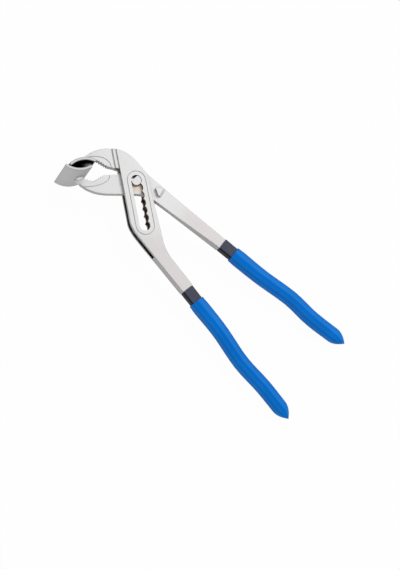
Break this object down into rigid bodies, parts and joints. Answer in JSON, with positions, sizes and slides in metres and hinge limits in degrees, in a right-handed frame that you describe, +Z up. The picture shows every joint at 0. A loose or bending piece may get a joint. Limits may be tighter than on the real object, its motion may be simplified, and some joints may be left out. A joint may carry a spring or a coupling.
{
  "type": "tire removal pliers",
  "caption": "Slip-joint box pliers with a curved pad welded to each jaw tip for gripping a tyre, toothed pipe jaws behind the pads and double-dipped handles.",
  "frame": {"origin": "on the table under the middle of the tool, which lies on its back on the pads' lower edges and the handles' ends", "axes": "+X across the handles towards the inner arm's handle, +Y from the handles to the jaws, +Z up"},
  "size_m": [0.103, 0.3122, 0.0552],
  "materials": {
    "satin_steel": "satin blasted and plated forging",
    "pad_steel": "satin sheet",
    "weld_metal": "plated weld",
    "black_dip": "dipped undercoat",
    "blue_dip": "dipped vinyl"
  },
  "bodies": {
    "outer_arm": {"outer_arm": "satin_steel", "upper_pad": "pad_steel", "upper_weld_front": "weld_metal", "upper_weld_back": "weld_metal", "outer_undercoat": "black_dip", "outer_grip": "blue_dip"},
    "pivot_pin": {"pivot_pin": "satin_steel"},
    "inner_arm": {"inner_arm": "satin_steel", "lower_pad": "pad_steel", "lower_weld_front": "weld_metal", "lower_weld_back": "weld_metal", "inner_undercoat": "black_dip", "inner_grip": "blue_dip"}
  },
  "joints": [
    {"name": "pin_slide", "type": "slide", "parent": "outer_arm", "child": "pivot_pin", "axis": [-0.5446, -0.8366, -0.0592], "range_m": [0, 0.0438]},
    {"name": "jaw_hinge", "type": "hinge", "parent": "pivot_pin", "child": "inner_arm", "pos_m": [0.00037, 0.1022, 0.02461], "axis": [0, -0.0706, 0.9975], "range_deg": [0, 60]}
  ]
}
